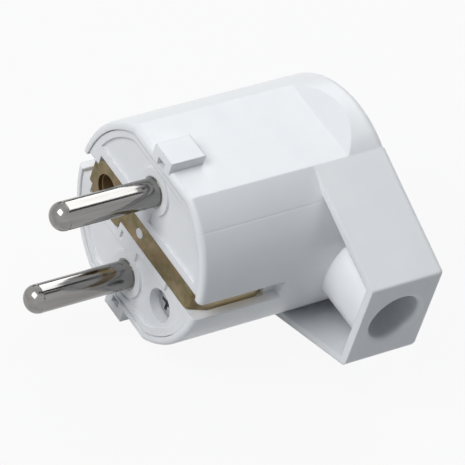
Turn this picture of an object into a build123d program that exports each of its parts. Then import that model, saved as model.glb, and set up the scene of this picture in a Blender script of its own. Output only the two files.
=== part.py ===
from build123d import *
from math import radians, sqrt, tan
import os

os.makedirs("parts", exist_ok=True)

# A rewirable grounded plug whose cord leaves at the side. Sizes are in mm.
# The origin is the middle of the engagement face, with one pin above it and one below.
# The pins point to -Y, the cord leaves to +X, and +Z runs from the lower pin to the upper.

# Moulded cover
body_radius = 18.45
flat_cut = 2.1  # how far each flat lies inside the round
body_depth = 38.1
side_wall = 1.4
rear_wall = 2.2
rear_round = 1.7
front_round = 0.9
rim_rise = 0.3  # its front rim stands this far ahead of the carrier's face
flat_length = 30.5
ramp_angle = 31.0  # behind each flat a ramp leads back up to the round
cavity_round = 1.5
seat_step = 0.95  # ledge that the pin carrier lands on

# Guide rib on each flat, with the keyhole in its nose
rib_width = 5.0
rib_height = 1.8
rib_length = 6.1
rib_round = 0.5
key_width = 1.8
key_height = 1.4
key_depth = 2.0
key_rise = 0.25  # how far it reaches above the flat

# Slots for the earth clips of the socket
slot_width = 3.5
slot_length = 16.6
slot_slant = 0.6
slot_floor_x = 16.7  # behind the carrier the slot ends on a floor

# Side outlet: two plates, an end plate and the cord tube between them
outlet_reach = 11.7  # end face beyond the round
outlet_depth = 14.5
outlet_height = 17.2
outlet_round = 1.2
outlet_top_round = 0.5
plate_wall = 1.3
end_wall = 1.5
outlet_floor = 1.5
tube_radius = 6.4
cord_radius = 4.6
tube_y = 30.8  # depth of the cord's axis
mouth_round = 1.0

# Pin carrier
carrier_gap = 0.1
carrier_depth = 13.9
carrier_floor = 4.0
carrier_wall = 1.55
guard_wall = 1.3  # wall behind each leg of the earth strap
guard_height = 7.2
leg_room = 0.5
collar_radius = 4.0
panel_depth = 0.45
panel_inset = 1.2  # raised border left round the two sunk panels
panel_low_edge = 3.7
panel_high_edge = 5.75
panel_step_x = 0.9
notches = [(11.3, -2.9, 3.8, 1.6), (-3.8, -4.1, 0.6, 1.7)]  # x, z, width and height of each

# Pins
pin_radius = 2.4
pin_length = 19.0
pin_spacing = 19.0
pin_tip_round = 2.0
pin_neck_radius = 2.6
pin_flange_radius = 3.9
pin_flange_thickness = 1.5
pin_head_radius = 3.4
pin_head_length = 10.0
pin_boss_wall = 1.2
wire_hole_radius = 1.6
wire_clearance = 1.2  # between the bridge and the wire hole
fit_gap = 0.1

# Bridge that holds the pins down in the carrier
bridge_width = 9.0
bridge_thickness = 1.8
bridge_round = 1.0
bridge_overlap = 1.5  # how far its forks pass the pins' axes
bridge_post_radius = 3.2
bridge_screw_radius = 1.3
bridge_screw_head = 2.4
bridge_screw_reach = 3.0

# Earth strap
strap_width = 4.3
strap_thickness = 0.8
strap_gap = 0.1
leg_reach = 15.4  # outer face of each leg from the middle
leg_bow = 1.25
leg_bend = 1.2
bow_bends = (1.6, 1.6, 3.0)  # at the bow's back end and at both ends of its crest
bow_start_y = 3.5
bow_y = 12.8
bow_end_y = 14.2
contact_leg_end = 18.0
strap_plate_width = 8.8
strap_plate_height = 8.1
strap_plate_round = 1.5
strap_plate_margin = 3.5  # from the earth hole to the plate's outer edge
stake_radius = 0.9

# Hole for the earth pin of a socket that has one
earth_hole_x = -10.4
earth_hole_radius = 2.5
sleeve_bore = 2.45
sleeve_wall = 0.5
sleeve_length = 13.0
sleeve_flange = 3.6
sleeve_flange_thickness = 0.5
sleeve_slit = 0.9
slit_start = 0.5  # behind the flange
sleeve_boss_radius = 4.2

# Earth terminal on the inner end of the longer leg
terminal_width = 6.0
terminal_height = 6.0
terminal_length = 7.0
terminal_gap = 1.1  # behind the carrier
terminal_round = 0.4
terminal_wire_x = 3.7  # wire hole from the leg's inner face
terminal_wire_y = 2.6  # and from the block's front
rivet_radius = 1.2
rivet_y = 3.5
rivet_reach = 1.6

# Screws
screw_radius = 1.75
screw_head_radius = 2.7
screw_head_height = 2.0
screw_lift = 0.6  # the terminals stand open by this
slot_cut_width = 0.8
slot_cut_depth = 1.0
terminal_turn = 35  # degrees that each slot stands turned by
clamp_turn = 20
thread_gap = 0.05

# Leaf between each terminal screw and its wire
leaf_thickness = 0.35
leaf_width = 1.8
leaf_offset = 0.85  # its inner face from the wire hole's axis
leaf_lip = 1.2

# Housing screw in its recess, driven from the front
housing_screw_x = 9.15
housing_screw_z = -7.7
recess_radius = 2.85
recess_depth = 4.4
housing_screw_radius = 1.5
housing_head_radius = 2.65
housing_head_height = 2.0
housing_head_round = 0.8
washer_thickness = 0.5
post_radius = 3.75
housing_screw_past = 1.5  # behind the insert
insert_radius = 2.3
insert_length = 7.0
insert_sunk = 0.5
cross_width = 0.7
cross_length = 3.0
cross_depth = 1.1
cross_taper = 8

# Cord clamp inside the cover
clamp_x = 2.2
clamp_spacing = 15.2
clamp_post_radius = 3.4
clamp_bar_width = 6.0
clamp_bar_thickness = 2.6
clamp_bar_length = 21.4
clamp_pad = 1.2
clamp_pad_length = 7.0
clamp_screw_length = 8.5
clamp_screw_room = 0.75

over = 1.0  # how far a cut runs past what it cuts

# Places worked out from the sizes above
flat_height = body_radius - flat_cut
corner_x = sqrt(body_radius**2 - flat_height**2)
inner_radius = body_radius - side_wall
inner_flat = flat_height - side_wall
rear_radius = inner_radius - seat_step
rear_flat = inner_flat - seat_step
cavity_depth = body_depth - rear_wall
outlet_x = body_radius + outlet_reach
outlet_front = body_depth - outlet_depth
outlet_slope = (flat_height - outlet_height / 2) / (outlet_x - corner_x)
carrier_radius = inner_radius - carrier_gap
carrier_flat = inner_flat - carrier_gap
pin_z = pin_spacing / 2
flange_y = carrier_floor + pin_flange_thickness
head_y = flange_y + pin_head_length
wire_y = flange_y + bridge_thickness + wire_hole_radius + wire_clearance
leg_face = leg_reach - strap_thickness
leg_middle = leg_reach - strap_thickness / 2
plate_left = earth_hole_x - strap_plate_margin
plate_middle = plate_left + strap_plate_width / 2
sleeve_y = strap_thickness + sleeve_flange_thickness
sleeve_radius = sleeve_bore + sleeve_wall
terminal_y = carrier_depth + terminal_gap
terminal_leg_end = terminal_y + terminal_length
terminal_screw_x = leg_face - terminal_wire_x
earth_wire_y = terminal_y + terminal_wire_y
bridge_y = flange_y + bridge_thickness
insert_y = carrier_depth + insert_sunk
housing_seat_y = recess_depth - washer_thickness
screw_end_y = insert_y + insert_length + housing_screw_past
clamp_z = clamp_spacing / 2
clamp_y = tube_y - cord_radius + clamp_pad
clamp_front = clamp_y - clamp_bar_thickness
clamp_spots = [(clamp_x, clamp_z), (clamp_x, -clamp_z)]
pin_spots = {"upper": pin_z, "lower": -pin_z}


def at_depth(y):
    """Plane behind the engagement face, seen from the pins: its own x is X and its own y is Z."""
    return Plane.XZ.offset(-y)


def flatted_disc(radius, half_height, mode=Mode.ADD):
    """Circle cut by two level lines, added to the sketch that is open."""
    Circle(radius, mode=mode)
    Rectangle(2 * radius, 2 * half_height, mode=Mode.INTERSECT)


def turned(x, z, outline, mode=Mode.ADD):
    """Turn (y, radius) points about the line along Y that passes through x and z."""
    with BuildSketch(Plane((x, 0, z), x_dir=(0, 1, 0), z_dir=(1, 0, 0))) as half:
        with BuildLine():
            Polyline(*outline, close=True)
        make_face()
    revolve(half.sketch, axis=Axis((x, 0, z), (0, 1, 0)), mode=mode)


def screw(x, z, tip, neck, top, radius, head):
    """Cylinder-head screw along Y, with its tip, the underside of its head and its top at given depths."""
    turned(x, z, [(tip, 0), (tip, radius), (neck, radius), (neck, head), (top, head), (top, 0)])


def leaf(side_plane, reach, y):
    """Bent leaf under a terminal screw, drawn on side_plane across the wire hole's axis."""
    with BuildSketch(side_plane.offset(-leaf_width / 2)) as outline:
        with BuildLine():
            FilletPolyline(
                (-reach, y + leaf_lip),
                (-reach, y),
                (reach, y),
                (reach, y + leaf_lip),
                radius=leaf_thickness,
            )
            offset(amount=leaf_thickness, side=Side.LEFT)
        make_face()
    extrude(outline.sketch, amount=leaf_width)


# Round of the cover, cut by the two flats and the ramps that end them
with BuildPart() as body_form:
    with BuildSketch(at_depth(-rim_rise)):
        Circle(body_radius)
    extrude(amount=-(body_depth + rim_rise))
    fillet(body_form.edges().filter_by(GeomType.CIRCLE).sort_by(Axis.Y)[-1], rear_round)
    ramp_run = 2 * flat_cut / tan(radians(ramp_angle))
    with BuildSketch(Plane.YZ):
        with BuildLine():
            Polyline(
                (-over, flat_height),
                (flat_length, flat_height),
                (flat_length + ramp_run, flat_height + 2 * flat_cut),
                (-over, flat_height + 2 * flat_cut),
                close=True,
            )
        make_face()
        mirror(about=Plane.XZ)
    extrude(amount=body_radius + over, both=True, mode=Mode.SUBTRACT)
    fillet(body_form.faces().sort_by(Axis.Y)[0].edges(), front_round)

# Outlet prism: its plates run tangent from the corner of each flat to the end face
with BuildPart() as outlet_form:
    with BuildSketch(at_depth(outlet_front)):
        with BuildLine():
            Polyline(
                (corner_x, flat_height),
                (outlet_x, outlet_height / 2),
                (outlet_x, -outlet_height / 2),
                (corner_x, -flat_height),
                close=True,
            )
        make_face()
    extrude(amount=-outlet_depth)
    end_edges = outlet_form.faces().sort_by(Axis.X)[-1].edges().filter_by(Axis.Y).sort_by(Axis.Z)
    fillet(end_edges[-1], outlet_top_round)
    fillet(end_edges[0], outlet_round)
    rear_face = outlet_form.faces().sort_by(Axis.Y)[-1]
    fillet(rear_face.edges().sort_by(Axis.X)[1:], outlet_round)
    plate_drop = plate_wall * sqrt(1 + outlet_slope**2)
    pocket_start = corner_x + plate_wall
    pocket_end = outlet_x - end_wall
    pocket_high = flat_height - plate_drop - outlet_slope * (pocket_start - corner_x)
    pocket_low = flat_height - plate_drop - outlet_slope * (pocket_end - corner_x)
    with BuildSketch(at_depth(outlet_front)):
        with BuildLine():
            Polyline(
                (pocket_start, pocket_high),
                (pocket_end, pocket_low),
                (pocket_end, -pocket_low),
                (pocket_start, -pocket_high),
                close=True,
            )
        make_face()
    extrude(amount=-(outlet_depth - outlet_floor), mode=Mode.SUBTRACT)

# Space inside the cover, stepped where the pin carrier lands
with BuildPart() as cavity_form:
    with BuildSketch(at_depth(carrier_depth)):
        flatted_disc(rear_radius, rear_flat)
    extrude(amount=-(cavity_depth - carrier_depth))
    fillet(cavity_form.faces().sort_by(Axis.Y)[-1].edges(), cavity_round)
    with BuildSketch(at_depth(-over)):
        flatted_disc(inner_radius, inner_flat)
    extrude(amount=-(carrier_depth + over))

with BuildPart() as housing:
    add(body_form.part)
    add(outlet_form.part)
    with BuildSketch(Plane.YZ.offset(body_radius - side_wall)):
        with Locations((tube_y, 0)):
            Circle(tube_radius)
    extrude(amount=pocket_end - body_radius + side_wall)
    with BuildSketch(at_depth(-rim_rise)):
        for side in (1, -1):
            with Locations((0, side * (flat_height - side_wall / 2 + rib_height / 2))):
                Rectangle(rib_width, rib_height + side_wall)
        fillet(vertices().filter_by(lambda v: abs(v.Z) > flat_height), rib_round)
    extrude(amount=-(rib_length + rim_rise))
    add(cavity_form.part, mode=Mode.SUBTRACT)
    with BuildSketch(at_depth(carrier_depth)):
        with Locations((housing_screw_x, housing_screw_z)):
            Circle(post_radius)
    extrude(amount=-(body_depth - rear_wall / 2 - carrier_depth))
    with BuildSketch(at_depth(clamp_y)):
        with Locations(*clamp_spots):
            Circle(clamp_post_radius)
    extrude(amount=-(body_depth - rear_wall / 2 - clamp_y))
    with BuildSketch():
        mouth_x = outlet_x - mouth_round
        bore_x = inner_radius - side_wall - over
        with BuildLine():
            bore = Line((bore_x, tube_y + cord_radius), (mouth_x, tube_y + cord_radius))
            bell = TangentArc(bore @ 1, (outlet_x, tube_y + cord_radius + mouth_round), tangent=bore % 1)
            Polyline(bell @ 1, (outlet_x, tube_y), (bore_x, tube_y), bore @ 0)
        make_face()
    revolve(axis=Axis((0, tube_y, 0), (1, 0, 0)), mode=Mode.SUBTRACT)
    with BuildSketch(Plane.XY.offset(-slot_width / 2)):
        with BuildLine():
            Polyline(
                (leg_face, -over),
                (body_radius + over, -over),
                (body_radius + over, slot_length),
                (slot_floor_x, slot_length - slot_slant),
                (slot_floor_x, carrier_depth),
                (leg_face, carrier_depth),
                close=True,
            )
        make_face()
        mirror(about=Plane.YZ)
    extrude(amount=slot_width, mode=Mode.SUBTRACT)
    with BuildSketch(at_depth(-over)):
        for side in (1, -1):
            with Locations((0, side * (flat_height + key_rise - key_height / 2))):
                Rectangle(key_width, key_height)
    extrude(amount=-(key_depth + over), mode=Mode.SUBTRACT)
    turned(
        housing_screw_x,
        housing_screw_z,
        [
            (carrier_depth - over, 0),
            (carrier_depth - over, insert_radius),
            (insert_y + insert_length, insert_radius),
            (insert_y + insert_length, housing_screw_radius + fit_gap),
            (screw_end_y + over, housing_screw_radius + fit_gap),
            (screw_end_y + over, 0),
        ],
        mode=Mode.SUBTRACT,
    )
    with BuildSketch(at_depth(clamp_y)):
        with Locations(*clamp_spots):
            Circle(screw_radius + thread_gap)
    extrude(amount=-(clamp_screw_length - clamp_bar_thickness + clamp_screw_room), mode=Mode.SUBTRACT)

# Pin carrier: a cup with its floor at the front, and its bosses and posts behind the floor
with BuildPart() as pin_carrier:
    with BuildSketch(at_depth(0)):
        flatted_disc(carrier_radius, carrier_flat)
    extrude(amount=-carrier_depth)
    with BuildSketch(at_depth(carrier_floor)):
        flatted_disc(carrier_radius - carrier_wall, carrier_flat - carrier_wall)
    extrude(amount=-carrier_depth, mode=Mode.SUBTRACT)
    with BuildSketch(at_depth(carrier_floor)):
        for side in (1, -1):
            with Locations((side * (leg_face - leg_room - guard_wall / 2), 0)):
                Rectangle(guard_wall, guard_height)
        with Locations((housing_screw_x, housing_screw_z)):
            Circle(post_radius)
        with Locations((earth_hole_x, 0)):
            Circle(sleeve_boss_radius)
    extrude(amount=-(carrier_depth - carrier_floor))
    with BuildSketch(at_depth(carrier_floor)):
        with Locations((0, pin_z), (0, -pin_z)):
            Circle(pin_flange_radius + fit_gap + pin_boss_wall)
        Circle(bridge_post_radius)
        flatted_disc(carrier_radius, carrier_flat, mode=Mode.INTERSECT)
    extrude(amount=-pin_flange_thickness)
    with BuildSketch(at_depth(carrier_floor)):
        with Locations((0, pin_z), (0, -pin_z)):
            Circle(pin_flange_radius + fit_gap)
    extrude(amount=-carrier_depth, mode=Mode.SUBTRACT)
    with BuildSketch(at_depth(-over)):
        Rectangle(2 * body_radius, strap_width + 2 * strap_gap)
        with Locations((plate_middle, 0)):
            Rectangle(strap_plate_width + 2 * strap_gap, strap_plate_height + 2 * strap_gap)
    extrude(amount=-(strap_thickness + over), mode=Mode.SUBTRACT)
    with BuildSketch(at_depth(-over)):
        for side in (1, -1):
            with Locations((side * (leg_face - leg_room + body_radius / 2), 0)):
                Rectangle(body_radius, strap_width + 2 * strap_gap)
    extrude(amount=-(carrier_depth + 2 * over), mode=Mode.SUBTRACT)
    with BuildSketch(at_depth(0)):
        Circle(stake_radius)
    extrude(amount=-strap_thickness)
    for side in (1, -1):
        hole = pin_neck_radius + thread_gap
        turned(
            0,
            side * pin_z,
            [(-over, 0), (-over, hole), (flange_y, hole), (flange_y, 0)],
            mode=Mode.SUBTRACT,
        )
    turned(
        earth_hole_x,
        0,
        [
            (-over, 0),
            (-over, sleeve_flange + fit_gap),
            (sleeve_y, sleeve_flange + fit_gap),
            (sleeve_y, sleeve_radius + fit_gap),
            (carrier_depth + over, sleeve_radius + fit_gap),
            (carrier_depth + over, 0),
        ],
        mode=Mode.SUBTRACT,
    )
    turned(
        housing_screw_x,
        housing_screw_z,
        [
            (-over, 0),
            (-over, recess_radius),
            (recess_depth, recess_radius),
            (recess_depth, housing_screw_radius + fit_gap),
            (carrier_depth + over, housing_screw_radius + fit_gap),
            (carrier_depth + over, 0),
        ],
        mode=Mode.SUBTRACT,
    )
    screw_hole = bridge_screw_radius + thread_gap
    screw_hole_y = bridge_y - bridge_screw_reach - bridge_thickness
    turned(
        0,
        0,
        [(screw_hole_y, 0), (screw_hole_y, screw_hole), (flange_y + over, screw_hole), (flange_y + over, 0)],
        mode=Mode.SUBTRACT,
    )
    rim = carrier_radius - panel_inset
    for side in (1, -1):
        with BuildSketch(at_depth(-over)):
            flatted_disc(rim, carrier_flat - panel_inset)
            with Locations((panel_step_x - rim, 0)):
                Rectangle(2 * rim, 2 * panel_high_edge, mode=Mode.SUBTRACT)
            with Locations((panel_step_x + rim, 0)):
                Rectangle(2 * rim, 2 * panel_low_edge, mode=Mode.SUBTRACT)
            with Locations((0, side * pin_z)):
                Circle(collar_radius, mode=Mode.SUBTRACT)
            with Locations((0, side * rim / 2)):
                Rectangle(2 * rim, rim, mode=Mode.INTERSECT)
        extrude(amount=-(panel_depth + over), mode=Mode.SUBTRACT)
    for x, z, width, height in notches:
        with BuildSketch(at_depth(-over)):
            with Locations((x, z)):
                Rectangle(width, height)
        extrude(amount=-(panel_depth + over), mode=Mode.SUBTRACT)

# Pins: a plated shank, a flange that seats in the carrier and a drilled head for the wire
pins = {}
for name, z in pin_spots.items():
    with BuildPart() as pin:
        turned(
            0,
            z,
            [
                (-pin_length, 0),
                (-pin_length, pin_radius),
                (0, pin_radius),
                (0, pin_neck_radius),
                (carrier_floor, pin_neck_radius),
                (carrier_floor, pin_flange_radius),
                (flange_y, pin_flange_radius),
                (flange_y, pin_head_radius),
                (head_y, pin_head_radius),
                (head_y, 0),
            ],
        )
        fillet(pin.edges().filter_by(GeomType.CIRCLE).sort_by(Axis.Y)[0], pin_tip_round)
        with BuildSketch(Plane.YZ):
            with Locations((wire_y, z)):
                Circle(wire_hole_radius)
        extrude(amount=2 * pin_head_radius, both=True, mode=Mode.SUBTRACT)
        bore = screw_radius + thread_gap
        turned(
            0,
            z,
            [(wire_y, 0), (wire_y, bore), (head_y + over, bore), (head_y + over, 0)],
            mode=Mode.SUBTRACT,
        )
    pins["pin_" + name] = pin.part

# Bridge: a plate forked round both pin heads, which holds the flanges down
with BuildPart() as pin_bridge:
    with BuildSketch(at_depth(flange_y)):
        RectangleRounded(bridge_width, pin_spacing + 2 * bridge_overlap, bridge_round)
        with Locations((0, pin_z), (0, -pin_z)):
            Circle(pin_head_radius + fit_gap, mode=Mode.SUBTRACT)
        Circle(bridge_screw_radius + fit_gap, mode=Mode.SUBTRACT)
    extrude(amount=-bridge_thickness)

with BuildPart() as bridge_screw:
    screw(
        0,
        0,
        flange_y - bridge_screw_reach,
        bridge_y,
        bridge_y + screw_head_height,
        bridge_screw_radius,
        bridge_screw_head,
    )
    with BuildSketch(at_depth(bridge_y + screw_head_height)):
        Rectangle(3 * bridge_screw_head, slot_cut_width)
    extrude(amount=slot_cut_depth, mode=Mode.SUBTRACT)

# Terminal screws of the pins and of the earth, all driven from behind
terminals = {
    "upper": (0, pin_z, wire_y, head_y),
    "lower": (0, -pin_z, wire_y, head_y),
    "earth": (terminal_screw_x, 0, earth_wire_y, terminal_leg_end),
}
terminal_screws = {}
for name, (x, z, hole_y, block_y) in terminals.items():
    neck = block_y + screw_lift
    with BuildPart() as terminal_screw:
        screw(
            x,
            z,
            hole_y + leaf_offset + leaf_thickness,
            neck,
            neck + screw_head_height,
            screw_radius,
            screw_head_radius,
        )
        with BuildSketch(at_depth(neck + screw_head_height)):
            with Locations((x, z)):
                Rectangle(3 * screw_head_radius, slot_cut_width, rotation=terminal_turn)
        extrude(amount=slot_cut_depth, mode=Mode.SUBTRACT)
    terminal_screws["terminal_screw_" + name] = terminal_screw.part

# Leaves that keep the screws off the wires, lying across each wire hole
leaves = {}
for name, z in pin_spots.items():
    with BuildPart() as pin_leaf:
        leaf(Plane.XY.offset(z), pin_head_radius + leaf_thickness + fit_gap, wire_y + leaf_offset)
    leaves["wire_leaf_" + name] = pin_leaf.part
with BuildPart() as earth_leaf:
    across = Plane((terminal_screw_x, 0, 0), x_dir=(0, 0, 1), z_dir=(-1, 0, 0))
    leaf(across, terminal_height / 2 + leaf_thickness + fit_gap, earth_wire_y + leaf_offset)
leaves["wire_leaf_earth"] = earth_leaf.part

# Earth strap: one strip across the face, bent down both sides, wider round the earth hole
with BuildPart() as earth_strap:
    strap_y = strap_thickness / 2
    bend = leg_bend - strap_thickness / 2
    with BuildSketch(Plane.XY.offset(-strap_width / 2)):
        with BuildLine():
            FilletPolyline(
                (-leg_middle, contact_leg_end),
                (-leg_middle, bow_end_y),
                (-leg_middle - leg_bow, bow_y),
                (-leg_middle - leg_bow, bow_start_y),
                (-leg_middle, strap_y),
                (leg_middle, strap_y),
                (leg_middle + leg_bow, bow_start_y),
                (leg_middle + leg_bow, bow_y),
                (leg_middle, bow_end_y),
                (leg_middle, terminal_leg_end),
                radius=[*bow_bends, bend, bend, *reversed(bow_bends)],
            )
        trace(line_width=strap_thickness)
    extrude(amount=strap_width)
    with BuildSketch(at_depth(0)):
        with Locations((plate_middle, 0)):
            RectangleRounded(strap_plate_width, strap_plate_height, strap_plate_round)
    extrude(amount=-strap_thickness)
    with BuildSketch(at_depth(0)):
        with Locations((earth_hole_x, 0)):
            Circle(earth_hole_radius)
        Circle(stake_radius + thread_gap)
    extrude(amount=-strap_thickness, mode=Mode.SUBTRACT)
    with BuildSketch(Plane.YZ.offset(leg_face - over)):
        with Locations((terminal_y + rivet_y, 0)):
            Circle(rivet_radius + thread_gap)
    extrude(amount=strap_thickness + 2 * over, mode=Mode.SUBTRACT)

# Sleeve that grips a socket's earth pin, slit along one side
with BuildPart() as earth_sleeve:
    turned(
        earth_hole_x,
        0,
        [
            (strap_thickness, sleeve_bore),
            (strap_thickness, sleeve_flange),
            (sleeve_y, sleeve_flange),
            (sleeve_y, sleeve_radius),
            (strap_thickness + sleeve_length, sleeve_radius),
            (strap_thickness + sleeve_length, sleeve_bore),
        ],
    )
    with BuildSketch(at_depth(sleeve_y + slit_start)):
        with Locations((earth_hole_x + sleeve_radius, 0)):
            Rectangle(2 * (sleeve_wall + over), sleeve_slit)
    extrude(amount=-sleeve_length, mode=Mode.SUBTRACT)

# Earth terminal on the inner face of the longer leg
with BuildPart() as earth_terminal:
    with BuildSketch(at_depth(terminal_y)):
        with Locations((leg_face - terminal_width / 2, 0)):
            RectangleRounded(terminal_width, terminal_height, terminal_round)
    extrude(amount=-terminal_length)
    with BuildSketch(Plane.XY):
        with Locations((terminal_screw_x, earth_wire_y)):
            Circle(wire_hole_radius)
    extrude(amount=terminal_height, both=True, mode=Mode.SUBTRACT)
    bore = screw_radius + thread_gap
    turned(
        terminal_screw_x,
        0,
        [
            (earth_wire_y, 0),
            (earth_wire_y, bore),
            (terminal_leg_end + over, bore),
            (terminal_leg_end + over, 0),
        ],
        mode=Mode.SUBTRACT,
    )
    with BuildSketch(Plane.YZ.offset(leg_face)):
        with Locations((terminal_y + rivet_y, 0)):
            Circle(rivet_radius + thread_gap)
    extrude(amount=-rivet_reach, mode=Mode.SUBTRACT)

with BuildPart() as earth_rivet:
    with BuildSketch(Plane.YZ.offset(leg_reach)):
        with Locations((terminal_y + rivet_y, 0)):
            Circle(rivet_radius)
    extrude(amount=-(rivet_reach + strap_thickness))

# Housing screw, its washer, and the threaded insert in the cover's post
with BuildPart() as housing_screw:
    screw(
        housing_screw_x,
        housing_screw_z,
        screw_end_y,
        housing_seat_y,
        housing_seat_y - housing_head_height,
        housing_screw_radius,
        housing_head_radius,
    )
    fillet(housing_screw.edges().filter_by(GeomType.CIRCLE).sort_by(Axis.Y)[0], housing_head_round)
    with BuildSketch(at_depth(housing_seat_y - housing_head_height)):
        with Locations((housing_screw_x, housing_screw_z)):
            Rectangle(cross_length, cross_width)
            Rectangle(cross_width, cross_length)
    extrude(amount=-cross_depth, taper=cross_taper, mode=Mode.SUBTRACT)

with BuildPart() as screw_washer:
    with BuildSketch(at_depth(housing_seat_y)):
        with Locations((housing_screw_x, housing_screw_z)):
            Circle(housing_head_radius)
            Circle(housing_screw_radius + fit_gap, mode=Mode.SUBTRACT)
    extrude(amount=-washer_thickness)

with BuildPart() as threaded_insert:
    turned(
        housing_screw_x,
        housing_screw_z,
        [
            (insert_y, housing_screw_radius + thread_gap),
            (insert_y, insert_radius - thread_gap),
            (insert_y + insert_length, insert_radius - thread_gap),
            (insert_y + insert_length, housing_screw_radius + thread_gap),
        ],
    )

# Cord clamp: a bar with a rounded pad, on two screws in the cover's posts
with BuildPart() as clamp_bar:
    with BuildSketch(Plane.YZ.offset(clamp_x - clamp_bar_width / 2)):
        with BuildLine():
            half = clamp_bar_length / 2
            pad_half = clamp_pad_length / 2
            Polyline((clamp_y, pad_half), (clamp_y, half), (clamp_front, half))
            Line((clamp_front, half), (clamp_front, -half))
            Polyline((clamp_front, -half), (clamp_y, -half), (clamp_y, -pad_half))
            ThreePointArc((clamp_y, -pad_half), (clamp_y + clamp_pad, 0), (clamp_y, pad_half))
        make_face()
    extrude(amount=clamp_bar_width)
    with BuildSketch(at_depth(clamp_front)):
        with Locations(*clamp_spots):
            Circle(screw_radius + fit_gap)
    extrude(amount=-clamp_bar_thickness, mode=Mode.SUBTRACT)

clamp_screws = {}
for name, (x, z) in zip(("upper", "lower"), clamp_spots):
    with BuildPart() as clamp_screw:
        top = clamp_front - screw_head_height
        screw(x, z, clamp_front + clamp_screw_length, clamp_front, top, screw_radius, screw_head_radius)
        with BuildSketch(at_depth(top)):
            with Locations((x, z)):
                Rectangle(3 * screw_head_radius, slot_cut_width, rotation=clamp_turn)
        extrude(amount=-slot_cut_depth, mode=Mode.SUBTRACT)
    clamp_screws["clamp_screw_" + name] = clamp_screw.part

pieces = {
    "housing": housing.part,
    "pin_carrier": pin_carrier.part,
    **pins,
    "pin_bridge": pin_bridge.part,
    "bridge_screw": bridge_screw.part,
    **terminal_screws,
    **leaves,
    "earth_strap": earth_strap.part,
    "earth_sleeve": earth_sleeve.part,
    "earth_terminal": earth_terminal.part,
    "earth_rivet": earth_rivet.part,
    "housing_screw": housing_screw.part,
    "screw_washer": screw_washer.part,
    "threaded_insert": threaded_insert.part,
    "clamp_bar": clamp_bar.part,
    **clamp_screws,
}
for name, piece in pieces.items():
    piece.label = name
    export_step(piece, f"parts/{name}.step")
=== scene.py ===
from math import cos, radians, sin, tau
import bmesh
import bpy
from mathutils import Matrix, Vector


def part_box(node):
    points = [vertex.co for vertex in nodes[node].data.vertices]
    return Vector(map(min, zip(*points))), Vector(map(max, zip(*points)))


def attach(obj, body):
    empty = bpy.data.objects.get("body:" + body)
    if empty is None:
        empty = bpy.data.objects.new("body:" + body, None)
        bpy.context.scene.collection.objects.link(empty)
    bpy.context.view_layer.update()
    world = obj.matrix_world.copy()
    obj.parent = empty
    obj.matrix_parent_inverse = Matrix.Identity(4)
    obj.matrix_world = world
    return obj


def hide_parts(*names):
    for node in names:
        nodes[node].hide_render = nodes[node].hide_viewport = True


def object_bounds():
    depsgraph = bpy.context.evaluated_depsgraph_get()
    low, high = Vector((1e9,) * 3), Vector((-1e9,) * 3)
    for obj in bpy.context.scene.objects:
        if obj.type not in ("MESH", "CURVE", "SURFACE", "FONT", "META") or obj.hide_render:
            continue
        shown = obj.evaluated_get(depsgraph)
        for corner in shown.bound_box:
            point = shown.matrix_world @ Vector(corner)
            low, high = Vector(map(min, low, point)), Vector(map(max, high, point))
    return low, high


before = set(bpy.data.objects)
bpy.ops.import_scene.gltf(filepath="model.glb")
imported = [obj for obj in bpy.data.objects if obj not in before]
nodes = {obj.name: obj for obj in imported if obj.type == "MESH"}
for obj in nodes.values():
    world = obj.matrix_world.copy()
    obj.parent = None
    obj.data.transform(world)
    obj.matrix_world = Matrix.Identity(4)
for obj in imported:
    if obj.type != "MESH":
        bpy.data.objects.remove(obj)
lowest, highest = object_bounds()
mm = 0.001
print("frame loaded:", len(nodes), "pieces")


def addToScene(name, data):
    item = bpy.data.objects.new(name, data)
    bpy.context.scene.collection.objects.link(item)
    return item


# camera, fitted to the photograph: its place in metres and its three axes
cameraView = {
    "place": (0.37522, -0.36342, 0.49372),
    "right": (0.51601, 0.82149, 0.24268),
    "up": (-0.68702, 0.2277, 0.69004),
    "back": (0.5116, -0.52279, 0.68187),
    "lens": 348.39,
    "sensorWidth": 36.0,
    "clipStart": 0.02,
    "clipEnd": 20.0,
}
cameraData = bpy.data.cameras.new("plugCamera")
cameraData.lens = cameraView["lens"]
cameraData.sensor_fit = "HORIZONTAL"
cameraData.sensor_width = cameraView["sensorWidth"]
cameraData.clip_start = cameraView["clipStart"]
cameraData.clip_end = cameraView["clipEnd"]
camera = addToScene("plugCamera", cameraData)
cameraTurn = Matrix((cameraView["right"], cameraView["up"], cameraView["back"])).transposed()
camera.matrix_world = Matrix.Translation(cameraView["place"]) @ cameraTurn.to_4x4()
bpy.context.scene.camera = camera
print("camera placed")


def startMaterial(name):
    material = bpy.data.materials.new(name)
    material.use_nodes = True
    tree = material.node_tree
    return material, tree, tree.nodes["Principled BSDF"]


def addNode(tree, kind, **settings):
    node = tree.nodes.new(kind)
    for key, value in settings.items():
        setattr(node, key, value)
    return node


def calculate(tree, operation, first, second=None):
    # each value is a number or the output of another node
    node = addNode(tree, "ShaderNodeMath", operation=operation)
    for socket, value in zip(node.inputs, (first, second)):
        if isinstance(value, (int, float)):
            socket.default_value = value
        elif value is not None:
            tree.links.new(value, socket)
    return node.outputs["Value"]


def placeInMm(tree, stretch=(1, 1, 1)):
    # the piece's own place in millimetres, stretched along its axes
    where = addNode(tree, "ShaderNodeTexCoord")
    mapping = addNode(tree, "ShaderNodeMapping")
    mapping.inputs["Scale"].default_value = [share / mm for share in stretch]
    tree.links.new(where.outputs["Object"], mapping.inputs["Vector"])
    return mapping.outputs["Vector"]


def splitAxes(tree, place):
    apart = addNode(tree, "ShaderNodeSeparateXYZ")
    tree.links.new(place, apart.inputs["Vector"])
    return apart.outputs


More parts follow.
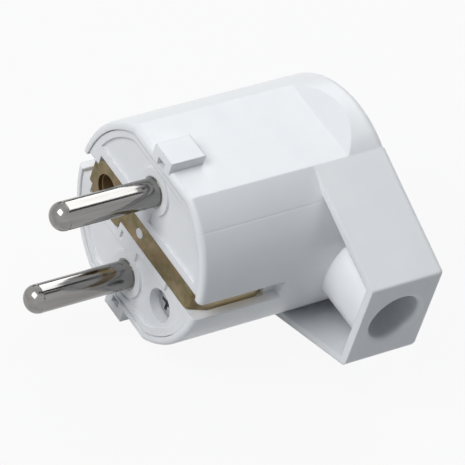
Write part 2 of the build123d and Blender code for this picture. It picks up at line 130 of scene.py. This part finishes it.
def noise(tree, place, scale, detail, roughness):
    node = addNode(tree, "ShaderNodeTexNoise")
    node.inputs["Scale"].default_value = scale
    node.inputs["Detail"].default_value = detail
    node.inputs["Roughness"].default_value = roughness
    tree.links.new(place, node.inputs["Vector"])
    return node.outputs["Fac"]


def spread(tree, value, low, high, fromLow=0.3, fromHigh=0.7):
    # stretches part of the value's range, as a rule the middle of a noise, to run from low to high
    node = addNode(tree, "ShaderNodeMapRange")
    ends = {"From Min": fromLow, "From Max": fromHigh, "To Min": low, "To Max": high}
    for socket, number in ends.items():
        node.inputs[socket].default_value = number
    tree.links.new(value, node.inputs["Value"])
    return node.outputs["Result"]


def blendColours(tree, factor, first, second):
    # each colour is three numbers or the output of another blend
    colourA, colourB, colourOut = 6, 7, 2  # the colour sockets of a Mix node
    node = addNode(tree, "ShaderNodeMix", data_type="RGBA")
    for socket, colour in ((node.inputs[colourA], first), (node.inputs[colourB], second)):
        if isinstance(colour, tuple):
            socket.default_value = (*colour, 1)
        else:
            tree.links.new(colour, socket)
    tree.links.new(factor, node.inputs["Factor"])
    return node.outputs[colourOut]


def setSurface(tree, shader, colour, roughness, metallic):
    tree.links.new(colour, shader.inputs["Base Color"])
    tree.links.new(roughness, shader.inputs["Roughness"])
    shader.inputs["Metallic"].default_value = metallic


def raiseSurface(tree, shader, height, look):
    # fine relief, over softened edges
    bump = addNode(tree, "ShaderNodeBump")
    bump.inputs["Distance"].default_value = look["reliefDepth"]
    bump.inputs["Strength"].default_value = look["reliefStrength"]
    tree.links.new(height, bump.inputs["Height"])
    soft = addNode(tree, "ShaderNodeBevel", samples=6)
    soft.inputs["Radius"].default_value = look["edgeRadius"]
    tree.links.new(soft.outputs["Normal"], bump.inputs["Normal"])
    tree.links.new(bump.outputs["Normal"], shader.inputs["Normal"])


def dress(material, *names):
    for name in names:
        mesh = nodes[name].data
        mesh.materials.clear()
        mesh.materials.append(material)


# moulded white plastic; a noise here and below is its scale per millimetre, detail and roughness
plasticLook = {
    "clouds": (0.12, 2.0, 0.5),
    "patches": (0.5, 4.0, 0.6),
    "waves": (0.22, 1.0, 0.5),
    "waveRange": (0.2, 0.8),
    "waveDepth": 0.05 * mm,
    "reliefStrength": 0.35,
    "ior": 1.49,
    "specular": 0.5,
    "subsurface": 0.14,
    "subsurfaceRadius": (0.95, 0.97, 1.0),
    "subsurfaceScale": 1.0 * mm,
}
# the cover is a little glossier and cooler than the carrier
coverLook = {
    **plasticLook,
    "light": (0.88, 0.893, 0.912),
    "dark": (0.85, 0.865, 0.887),
    "roughness": (0.30, 0.42),
    "grain": (5.0, 2.0, 0.5),
    "reliefDepth": 0.012 * mm,
    "edgeRadius": 0.34 * mm,
    # faint seam of the mould along Y, above and below: its angle from +X in degrees, and
    # its width, least distance from the middle and rear end in the texture's millimetres
    "seamAngle": 44,
    "seamWidth": 0.5,
    "seamFrom": 17.0,
    "seamEnd": 23.2,
    "seamDepth": 0.09 * mm,
}
carrierLook = {
    **plasticLook,
    "light": (0.86, 0.87, 0.89),
    "dark": (0.82, 0.832, 0.854),
    "roughness": (0.40, 0.54),
    "grain": (4.0, 2.0, 0.5),
    "reliefDepth": 0.02 * mm,
    "edgeRadius": 0.16 * mm,
}


def addSeam(tree, place, height, look):
    # sunk line where the plane at the seam's angle meets the round side
    x, y, z = splitAxes(tree, place)
    angle = radians(look["seamAngle"])
    across = calculate(tree, "MULTIPLY", x, sin(angle))
    above = calculate(tree, "MULTIPLY", calculate(tree, "ABSOLUTE", z), cos(angle))
    away = calculate(tree, "ABSOLUTE", calculate(tree, "SUBTRACT", across, above))
    line = spread(tree, away, -look["seamDepth"] / look["reliefDepth"], 0, 0, look["seamWidth"] / 2)
    outward = calculate(tree, "GREATER_THAN", x, look["seamFrom"] * cos(angle))
    inFront = calculate(tree, "LESS_THAN", y, look["seamEnd"])
    shown = calculate(tree, "MULTIPLY", calculate(tree, "MULTIPLY", line, outward), inFront)
    return calculate(tree, "ADD", height, shown)


def mouldedPlastic(name, look):
    material, tree, shader = startMaterial(name)
    place = placeInMm(tree)
    clouds = spread(tree, noise(tree, place, *look["clouds"]), 0, 1)
    colour = blendColours(tree, clouds, look["dark"], look["light"])
    patches = noise(tree, place, *look["patches"])
    setSurface(tree, shader, colour, spread(tree, patches, *look["roughness"]), 0.0)
    shader.inputs["IOR"].default_value = look["ior"]
    shader.inputs["Specular IOR Level"].default_value = look["specular"]
    shader.inputs["Subsurface Weight"].default_value = look["subsurface"]
    shader.inputs["Subsurface Radius"].default_value = look["subsurfaceRadius"]
    shader.inputs["Subsurface Scale"].default_value = look["subsurfaceScale"]
    # a fine grain over the slow waves that shrinkage leaves
    grain = noise(tree, place, *look["grain"])
    waves = noise(tree, place, *look["waves"])
    waveHeight = look["waveDepth"] / look["reliefDepth"]
    height = calculate(tree, "ADD", grain, spread(tree, waves, 0, waveHeight, *look["waveRange"]))
    if "seamAngle" in look:
        height = addSeam(tree, place, height, look)
    raiseSurface(tree, shader, height, look)
    return material


dress(mouldedPlastic("coverPlastic", coverLook), "housing")
dress(mouldedPlastic("carrierPlastic", carrierLook), "pin_carrier", "pin_bridge", "clamp_bar")
print("plastic done")

# pins: nickel plate with fine drawn streaks along their length
pinLook = {
    "light": (0.285, 0.28, 0.272),
    "dark": (0.222, 0.218, 0.211),
    "roughness": (0.09, 0.17),
    "streaks": (1.0, 0.06, 1.0),
    "fine": (9.0, 3.0, 0.5),
    "broad": (1.1, 3.0, 0.6),
    "broadRange": (0.32, 0.66),
    "reliefDepth": 0.006 * mm,
    "reliefStrength": 0.3,
    "edgeRadius": 0.08 * mm,
    # turned ridge where the round tip begins: its place and half its width in the texture's millimetres
    "tipStart": -17.0,
    "ridgeReach": 0.25,
    "ridgeHeight": 0.15 * mm,
}


def platedMetal(name, look):
    material, tree, shader = startMaterial(name)
    streaked = placeInMm(tree, look["streaks"])
    fine = noise(tree, streaked, *look["fine"])
    broad = noise(tree, streaked, *look["broad"])
    shade = spread(tree, broad, 0, 1, *look["broadRange"])
    colour = blendColours(tree, shade, look["dark"], look["light"])
    setSurface(tree, shader, colour, spread(tree, fine, *look["roughness"]), 1.0)
    alongPin = splitAxes(tree, placeInMm(tree))["Y"]
    away = calculate(tree, "ABSOLUTE", calculate(tree, "SUBTRACT", alongPin, look["tipStart"]))
    ridge = spread(tree, away, look["ridgeHeight"] / look["reliefDepth"], 0, 0, look["ridgeReach"])
    raiseSurface(tree, shader, calculate(tree, "ADD", fine, ridge), look)
    return material


dress(platedMetal("platedPins", pinLook), "pin_upper", "pin_lower")
print("pins done")

# earth strap and the other brass: dull, with tarnished and reddened patches
brassLook = {
    "clean": (0.255, 0.208, 0.118),
    "tarnished": (0.150, 0.128, 0.062),
    "reddened": (0.265, 0.180, 0.110),
    "redShare": 0.55,
    "roughness": (0.58, 0.38),  # tarnished, clean
    "patches": (0.45, 4.0, 0.62),
    "patchRange": (0.34, 0.66),
    "reds": (0.3, 3.0, 0.5),
    "redRange": (0.45, 0.62),
    "rolling": (0.15, 1, 1),
    "rollLines": (6.0, 3.0, 0.5),
    "reliefDepth": 0.01 * mm,
    "reliefStrength": 0.3,
    "edgeRadius": 0.1 * mm,
}
# painted light: behind the bend, the strap's legs, which lie shaded in the slot, are painted lighter:
# depth in the texture's millimetres
strapLook = {
    **brassLook,
    "paintedLight": (0.66, 0.57, 0.40),
    "paintedLightShare": 0.85,
    "paintedLightDepth": (1.5, 4.5),
}
sleeveLook = {
    **brassLook,
    "clean": (0.52, 0.41, 0.24),
    "tarnished": (0.40, 0.31, 0.18),
    "reddened": (0.50, 0.34, 0.20),
}


def dullBrass(name, look):
    material, tree, shader = startMaterial(name)
    place = placeInMm(tree)
    patches = noise(tree, place, *look["patches"])
    shade = spread(tree, patches, 0, 1, *look["patchRange"])
    colour = blendColours(tree, shade, look["tarnished"], look["clean"])
    reds = spread(tree, noise(tree, place, *look["reds"]), 0, look["redShare"], *look["redRange"])
    colour = blendColours(tree, reds, colour, look["reddened"])
    # painted light on the strap's legs behind the bend, standing in for light that the slot's shade
    # takes away
    if "paintedLight" in look:
        depth = splitAxes(tree, place)["Y"]
        paintedLightMask = spread(tree, depth, 0, look["paintedLightShare"], *look["paintedLightDepth"])
        colour = blendColours(tree, paintedLightMask, colour, look["paintedLight"])
    setSurface(tree, shader, colour, spread(tree, patches, *look["roughness"]), 1.0)
    rollLines = noise(tree, placeInMm(tree, look["rolling"]), *look["rollLines"])
    raiseSurface(tree, shader, rollLines, look)
    return material


brass = dullBrass("dullBrass", brassLook)
dress(brass, "earth_terminal", "earth_rivet", "wire_leaf_upper", "wire_leaf_lower", "wire_leaf_earth")
dress(dullBrass("strapBrass", strapLook), "earth_strap")
dress(dullBrass("sleeveBrass", sleeveLook), "earth_sleeve")
print("brass done")

# zinc plate of the screws and the washer
zincLook = {
    "light": (0.52, 0.528, 0.536),
    "dark": (0.42, 0.427, 0.434),
    "roughness": (0.4, 0.22),  # dark, light
    "patches": (1.4, 4.0, 0.6),
    "grain": (8.0, 2.0, 0.5),
    "reliefDepth": 0.01 * mm,
    "reliefStrength": 0.3,
    "edgeRadius": 0.08 * mm,
}


def zincPlate(name, look):
    material, tree, shader = startMaterial(name)
    place = placeInMm(tree)
    patches = noise(tree, place, *look["patches"])
    colour = blendColours(tree, spread(tree, patches, 0, 1), look["dark"], look["light"])
    setSurface(tree, shader, colour, spread(tree, patches, *look["roughness"]), 1.0)
    raiseSurface(tree, shader, noise(tree, place, *look["grain"]), look)
    return material


zinc = zincPlate("zincPlate", zincLook)
dress(zinc, "screw_washer")

# what every turned piece shares
turningLook = {
    "valleyHalf": 0.42,  # half the width of a thread's valley, as a share of its pitch
    "sharpFrom": 38,  # degrees between two faces from which their edge is sharp
}


def endMesh(shape, name):
    bmesh.ops.recalc_face_normals(shape, faces=shape.faces)
    mesh = bpy.data.meshes.new(name)
    shape.to_mesh(mesh)
    shape.free()
    return mesh


def cutBack(along, share, depth, pitch, ribs):
    # how deep the surface is cut there: by a thread where there is a pitch, else between ribs
    if pitch:
        turns = (along / pitch - share) % 1
        return depth * max(0.0, 1 - abs(turns - 0.5) / turningLook["valleyHalf"])
    return depth * (0.5 - 0.5 * cos(tau * ribs * share))


def turnedMesh(name, middle, inward, profile, around, ribs=0, hollow=False):
    # turned round an axis along Y; a row of the profile is place, radius, cut depth and thread pitch,
    # in millimetres from the first face, and the last row of a hollow piece joins its first
    shape = bmesh.new()
    rings = []
    for along, radius, depth, pitch in profile:
        ring = []
        for step in range(around):
            share = step / around
            reach = (radius - cutBack(along, share, depth, pitch, ribs)) * mm
            x = middle[0] + reach * cos(tau * share)
            z = middle[2] + reach * sin(tau * share)
            ring.append(shape.verts.new((x, middle[1] + inward * along * mm, z)))
        rings.append(ring)
    followers = rings[1:] + rings[:1] if hollow else rings[1:]
    for first, second in zip(rings, followers):
        for step in range(around):
            other = (step + 1) % around
            shape.faces.new((first[step], first[other], second[other], second[step]))
    if not hollow:
        shape.faces.new(rings[0])
        shape.faces.new(rings[-1])
    return endMesh(shape, name)


def finishPiece(piece, node, material):
    for face in piece.data.polygons:
        face.use_smooth = True
    piece.data.materials.clear()
    piece.data.materials.append(material)
    piece.modifiers.new("edges", "EDGE_SPLIT").split_angle = radians(turningLook["sharpFrom"])
    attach(piece, "root")
    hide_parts(node)


# screws, in millimetres and degrees, turned where the CAD has them
screwLook = {
    "kinds": {
        "bridge": {"thread": 1.3, "pitch": 0.5, "head": 2.4, "headHeight": 2.0, "rounding": 0.35},
        "terminal": {"thread": 1.75, "pitch": 0.7, "head": 2.7, "headHeight": 2.0, "rounding": 0.35},
        "housing": {"thread": 1.5, "pitch": 0.6, "head": 2.65, "headHeight": 2.0, "rounding": 0.8},
    },
    # node: kind, whether its head is at the rear, turns of its slots
    "places": {
        "bridge_screw": ("bridge", True, (0,)),
        "terminal_screw_upper": ("terminal", True, (35,)),
        "terminal_screw_lower": ("terminal", True, (35,)),
        "terminal_screw_earth": ("terminal", True, (35,)),
        "clamp_screw_upper": ("terminal", False, (20,)),
        "clamp_screw_lower": ("terminal", False, (20,)),
        "housing_screw": ("housing", False, (0, 90)),
    },
    "around": 48,
    "roundingStep": 15,
    "rowsPerPitch": 8,
    "threadShare": 0.55,  # the thread's depth, as a share of its pitch
    "underEdge": 0.1,
    "neck": 0.3,
    "lead": 0.4,
    "slot": {"width": 0.8, "depth": 1.0, "taper": 0},
    "slotReach": 3,  # the slot's length, in radii of the head
    "cross": {"length": 3.0, "width": 0.7, "depth": 1.1, "taper": 8},
    "cutterOver": 0.3,
}


def screwProfile(kind, length, look):
    # from the head's face to the tip
    radius, pitch, head = kind["thread"], kind["pitch"], kind["head"]
    height, rounding = kind["headHeight"], kind["rounding"]
    neck, edge, halfLead = look["neck"], look["underEdge"], look["lead"] * 0.5
    profile = []
    for degrees in range(0, 91, look["roundingStep"]):
        angle = radians(degrees)
        profile.append((rounding * (1 - cos(angle)), head - rounding * (1 - sin(angle)), 0, 0))
    profile += [(height - edge, head, 0, 0), (height, head - edge, 0, 0)]
    profile += [(height, radius, 0, 0), (height + neck, radius, 0, 0)]
    step = pitch / look["rowsPerPitch"]
    depth = look["threadShare"] * pitch
    rows = int((length - height - neck - look["lead"]) / step)
    for row in range(1, rows + 1):
        fade = min(1, row * step / pitch)
        profile.append((height + neck + row * step, radius, depth * fade, pitch))
    core = radius - depth
    return profile + [(length - halfLead, core, 0, 0), (length, core - halfLead, 0, 0)]


def slotCutter(middle, inward, slot, turn):
    # its sides lean in by the taper, and it starts above the head's face
    shape = bmesh.new()
    corners = []
    for along in (-screwLook["cutterOver"], slot["depth"]):
        shrink = along * sin(radians(slot["taper"]))
        for xSide, zSide in ((-1, -1), (1, -1), (1, 1), (-1, 1)):
            halfLength = slot["length"] / 2 - shrink
            halfWidth = slot["width"] / 2 - shrink
            flat = Vector((xSide * halfLength, zSide * halfWidth))
            flat.rotate(Matrix.Rotation(radians(turn), 2))
            x = middle[0] + flat.x * mm
            z = middle[2] + flat.y * mm
            corners.append(shape.verts.new((x, middle[1] + inward * along * mm, z)))
    for face in ((0, 1, 2, 3), (4, 5, 6, 7), (0, 1, 5, 4), (1, 2, 6, 5), (2, 3, 7, 6), (3, 0, 4, 7)):
        shape.faces.new([corners[corner] for corner in face])
    return addToScene("slotCutter", endMesh(shape, "slotCutter"))


def cutSlots(piece, cutters):
    for cutter in cutters:
        away = piece.modifiers.new("cut", "BOOLEAN")
        away.operation = "DIFFERENCE"
        away.solver = "EXACT"
        away.object = cutter
    bpy.context.view_layer.update()
    slotted = piece.evaluated_get(bpy.context.evaluated_depsgraph_get())
    cutMesh = bpy.data.meshes.new_from_object(slotted)
    piece.modifiers.clear()
    piece.data = cutMesh
    for cutter in cutters:
        bpy.data.objects.remove(cutter)


for node, (kindName, headAtRear, turns) in screwLook["places"].items():
    kind = screwLook["kinds"][kindName]
    low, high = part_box(node)
    start, inward = (high.y, -1) if headAtRear else (low.y, 1)
    middle = ((low.x + high.x) / 2, start, (low.z + high.z) / 2)
    profile = screwProfile(kind, (high.y - low.y) / mm, screwLook)
    name = node + "_turned"
    screw = addToScene(name, turnedMesh(name, middle, inward, profile, screwLook["around"]))
    if len(turns) > 1:
        slot = screwLook["cross"]
    else:
        slot = {**screwLook["slot"], "length": screwLook["slotReach"] * kind["head"]}
    cutSlots(screw, [slotCutter(middle, inward, slot, turn) for turn in turns])
    finishPiece(screw, node, zinc)
print("screws done")

# threaded insert, in millimetres: two knurled bands, a groove between them, a thread in the bore
insertLook = {
    "around": 96,
    "ribs": 24,
    "ribDepth": 0.14,
    "rim": 0.25,
    "grooveStart": 2.9,
    "grooveEnd": 4.1,
    "grooveDepth": 0.35,
    "bore": 1.55,
    "threadPitch": 0.6,
    "threadDepth": 0.2,
    "rowsPerPitch": 6,
    "plainEnd": 0.1,
}


def insertProfile(outer, length, look):
    # along the outside, then back through the bore
    rim, bore, rib, plainEnd = look["rim"], look["bore"], look["ribDepth"], look["plainEnd"]
    grooveStart, grooveEnd = look["grooveStart"], look["grooveEnd"]
    grooveFloor = outer - look["grooveDepth"]
    profile = [(0, bore, 0, 0), (0, outer - rim, 0, 0)]
    profile += [(rim, outer, rib, 0), (grooveStart - rim, outer, rib, 0)]
    profile += [(grooveStart, grooveFloor, 0, 0), (grooveEnd, grooveFloor, 0, 0)]
    profile += [(grooveEnd + rim, outer, rib, 0), (length - rim, outer, rib, 0)]
    profile += [(length, outer - rim, 0, 0), (length, bore, 0, 0)]
    step = look["threadPitch"] / look["rowsPerPitch"]
    for row in range(int((length - 2 * plainEnd) / step)):
        along = length - plainEnd - row * step
        profile.append((along, bore, -look["threadDepth"], look["threadPitch"]))
    return profile


low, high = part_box("threaded_insert")
middle = ((low.x + high.x) / 2, low.y, (low.z + high.z) / 2)
profile = insertProfile((high.x - low.x) / 2 / mm, (high.y - low.y) / mm, insertLook)
name = "threaded_insert_turned"
insertMesh = turnedMesh(name, middle, 1, profile, insertLook["around"], insertLook["ribs"], hollow=True)
finishPiece(addToScene(name, insertMesh), "threaded_insert", brass)
print("insert done")


def whiteRays(tree):
    # 1 where the camera, or metal or glass, sees the background
    rays = addNode(tree, "ShaderNodeLightPath").outputs
    seen = calculate(tree, "MAXIMUM", rays["Is Camera Ray"], rays["Is Glossy Ray"])
    return calculate(tree, "MAXIMUM", seen, rays["Is Transmission Ray"])


def mixShaders(tree, factor, first, second, outputName):
    mix = addNode(tree, "ShaderNodeMixShader")
    tree.links.new(factor, mix.inputs["Fac"])
    tree.links.new(first, mix.inputs[1])
    tree.links.new(second, mix.inputs[2])
    tree.links.new(mix.outputs["Shader"], tree.nodes[outputName].inputs["Surface"])


# floor, white to the camera apart from the plug's shadow
floorLook = {
    "size": 3.0,
    "colour": (0.52, 0.525, 0.535),
    "roughness": 0.9,
    "whiteShare": 0.92,
}
half = floorLook["size"] / 2
corners = [(x * half, y * half, lowest[2]) for x, y in ((-1, -1), (1, -1), (1, 1), (-1, 1))]
floorMesh = bpy.data.meshes.new("floor")
floorMesh.from_pydata(corners, [], [(0, 1, 2, 3)])
floor = addToScene("floor", floorMesh)
floorMaterial, tree, shader = startMaterial("paleFloor")
shader.inputs["Base Color"].default_value = (*floorLook["colour"], 1)
shader.inputs["Roughness"].default_value = floorLook["roughness"]
white = addNode(tree, "ShaderNodeEmission").outputs["Emission"]
whiteness = calculate(tree, "MULTIPLY", whiteRays(tree), floorLook["whiteShare"])
mixShaders(tree, whiteness, shader.outputs["BSDF"], white, "Material Output")
floorMesh.materials.append(floorMaterial)

# cool light from all round, behind a white background
skyLook = {
    "colour": (0.86, 0.93, 1.0),
    "strength": 0.175,
}
world = bpy.data.worlds.new("studio")
bpy.context.scene.world = world
world.use_nodes = True
tree = world.node_tree
sky = tree.nodes["Background"]
sky.inputs["Color"].default_value = (*skyLook["colour"], 1)
sky.inputs["Strength"].default_value = skyLook["strength"]
plain = addNode(tree, "ShaderNodeBackground")
plain.inputs["Color"].default_value = (1, 1, 1, 1)
mixShaders(tree, whiteRays(tree), sky.outputs["Background"], plain.outputs["Background"], "World Output")
print("floor and sky done")

# name: place and sides in metres, power in watts
lampLook = {
    "topStrip": {"place": (-0.45, 0.468, 0.621), "length": 1.3, "width": 0.32, "power": 3.95},
    "frontSoftbox": {"place": (-0.10, -0.63, 0.64), "length": 0.6, "width": 0.6, "power": 5.6},
}


def facePlug(item, place):
    # turned to the plug, with its long side across the pins
    back = Vector(place).normalized()
    along = back.cross(Vector((0, 1, 0))).normalized()
    turned = Matrix((along, back.cross(along), back)).transposed().to_4x4()
    item.matrix_world = Matrix.Translation(place) @ turned


for name, look in lampLook.items():
    lampData = bpy.data.lights.new(name, "AREA")
    lampData.shape = "RECTANGLE"
    lampData.size = look["length"]
    lampData.size_y = look["width"]
    lampData.energy = look["power"]
    lamp = addToScene(name, lampData)
    facePlug(lamp, look["place"])
    lamp.visible_camera = False

# painted reflections: dim curved cards that glow and that only glossy surfaces mirror, putting dark
# bands in the pins, at a reach from the Y axis and between two places along it, in metres; name: start
# and end angle from +X towards +Z in degrees, glow
cardLook = {
    "reach": 0.6,
    "ends": (0.1, 0.75),
    "bends": 6,
    "cards": {"lineCard": (66, 80, 0.10), "rearCard": (166, 222, 0.13)},
}
bends, reach = cardLook["bends"], cardLook["reach"]
for name, (first, last, glow) in cardLook["cards"].items():
    corners = []
    for step in range(bends + 1):
        angle = radians(first + (last - first) * step / bends)
        corners += [(reach * cos(angle), y, reach * sin(angle)) for y in cardLook["ends"]]
    faces = [(corner, corner + 1, corner + 3, corner + 2) for corner in range(0, 2 * bends, 2)]
    cardMesh = bpy.data.meshes.new(name)
    cardMesh.from_pydata(corners, [], faces)
    card = addToScene(name, cardMesh)
    for rays in ("visible_camera", "visible_diffuse", "visible_shadow", "visible_transmission"):
        setattr(card, rays, False)
    cardMaterial, tree, shader = startMaterial(name)
    # the card's glow is a painted reflection, seen only by glossy rays
    glowing = addNode(tree, "ShaderNodeEmission")
    glowing.inputs["Strength"].default_value = glow
    tree.links.new(glowing.outputs["Emission"], tree.nodes["Material Output"].inputs["Surface"])
    cardMesh.materials.append(cardMaterial)
bpy.context.scene.view_settings.view_transform = "Standard"
print("light done")
